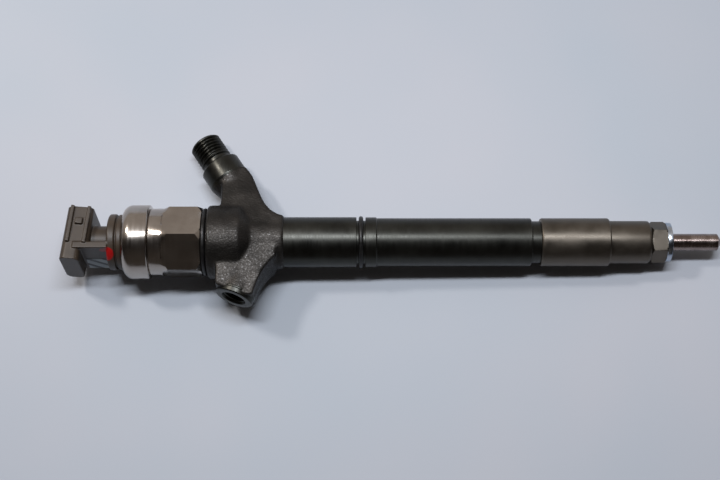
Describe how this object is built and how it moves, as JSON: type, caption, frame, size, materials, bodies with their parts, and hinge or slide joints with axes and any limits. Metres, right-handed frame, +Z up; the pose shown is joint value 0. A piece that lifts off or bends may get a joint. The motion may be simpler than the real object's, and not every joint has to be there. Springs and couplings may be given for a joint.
{
  "type": "fuel injector",
  "caption": "Solenoid-operated common-rail diesel injector: forged body with angled fuel inlet stub and return boss, long slim shank, and side-mounted electrical connector.",
  "frame": {"origin": "on the injector's axis, at the front face of the sealing washer that seats in the cylinder head, where the nozzle shank starts", "axes": "+X along the injector's axis towards the spray tip; +Z up with the injector lying on a bench; the inlet stub points back and towards +Y, 12 degrees below horizontal"},
  "size_m": [0.2758, 0.077, 0.0319],
  "materials": {
    "forged_steel": "black-brown oxide on a forged and turned steel body, matt on the forging, satin on the turned shank",
    "phosphated_steel": "grey-black phosphate on turned steel, satin",
    "turned_steel": "fine-turned stainless steel, satin, bright",
    "washer_steel": "bright plated steel",
    "nozzle_steel": "hardened ground steel, heat-tinted brown",
    "ground_steel": "hardened and lapped steel",
    "spring_steel": "oil-tempered spring steel",
    "soft_iron": "sintered soft-magnetic iron, grey",
    "copper_wire": "enamelled copper wire",
    "tinned_copper": "tin-plated copper alloy, satin",
    "connector_plastic": "dark brown glass-filled polyamide, moulded, satin",
    "bobbin_plastic": "natural polyamide",
    "seal_rubber": "black fluorocarbon rubber",
    "label_film": "light grey printed film, no lettering"
  },
  "bodies": {
    "body": {"connector_housing": "connector_plastic", "terminal_blades": "tinned_copper", "identity_label": "label_film", "connector_o_ring": "seal_rubber", "solenoid_housing": "turned_steel", "solenoid_retaining_nut": "turned_steel", "air_gap_shim": "ground_steel", "solenoid_core": "soft_iron", "coil_bobbin": "bobbin_plastic", "coil_winding": "copper_wire", "valve_spring_plug": "ground_steel", "valve_spring": "spring_steel", "armature_guide": "ground_steel", "valve_clamp_ring": "ground_steel", "valve_piece": "ground_steel", "head_o_ring": "seal_rubber", "injector_body": "forged_steel", "inlet_filter": "ground_steel", "body_o_ring": "seal_rubber", "nozzle_spring": "spring_steel", "spring_shim": "ground_steel", "distance_piece": "ground_steel", "dowel_pins": "ground_steel", "nozzle_body": "nozzle_steel", "nozzle_retaining_nut": "phosphated_steel", "sealing_washer": "washer_steel"},
    "needle": {"nozzle_needle": "ground_steel", "pressure_pin": "ground_steel"},
    "command_piston": {"command_piston": "ground_steel"},
    "valve": {"armature": "soft_iron", "ball_cup": "ground_steel", "valve_ball": "ground_steel"}
  },
  "joints": [
    {"name": "needle_lift", "type": "slide", "parent": "body", "child": "needle", "axis": [-1, 0, 0], "range_m": [0, 0.0003], "stiffness_N_per_m": 20000, "springref_m": -0.002},
    {"name": "piston_lift", "type": "slide", "parent": "body", "child": "command_piston", "axis": [-1, 0, 0], "range_m": [0, 0.0003]},
    {"name": "valve_lift", "type": "slide", "parent": "body", "child": "valve", "axis": [-1, 0, 0], "range_m": [0, 0.00006], "stiffness_N_per_m": 10000, "springref_m": -0.002}
  ],
  "couplings": [
    {"joint": "piston_lift", "follows": "needle_lift", "ratio": 1}
  ]
}
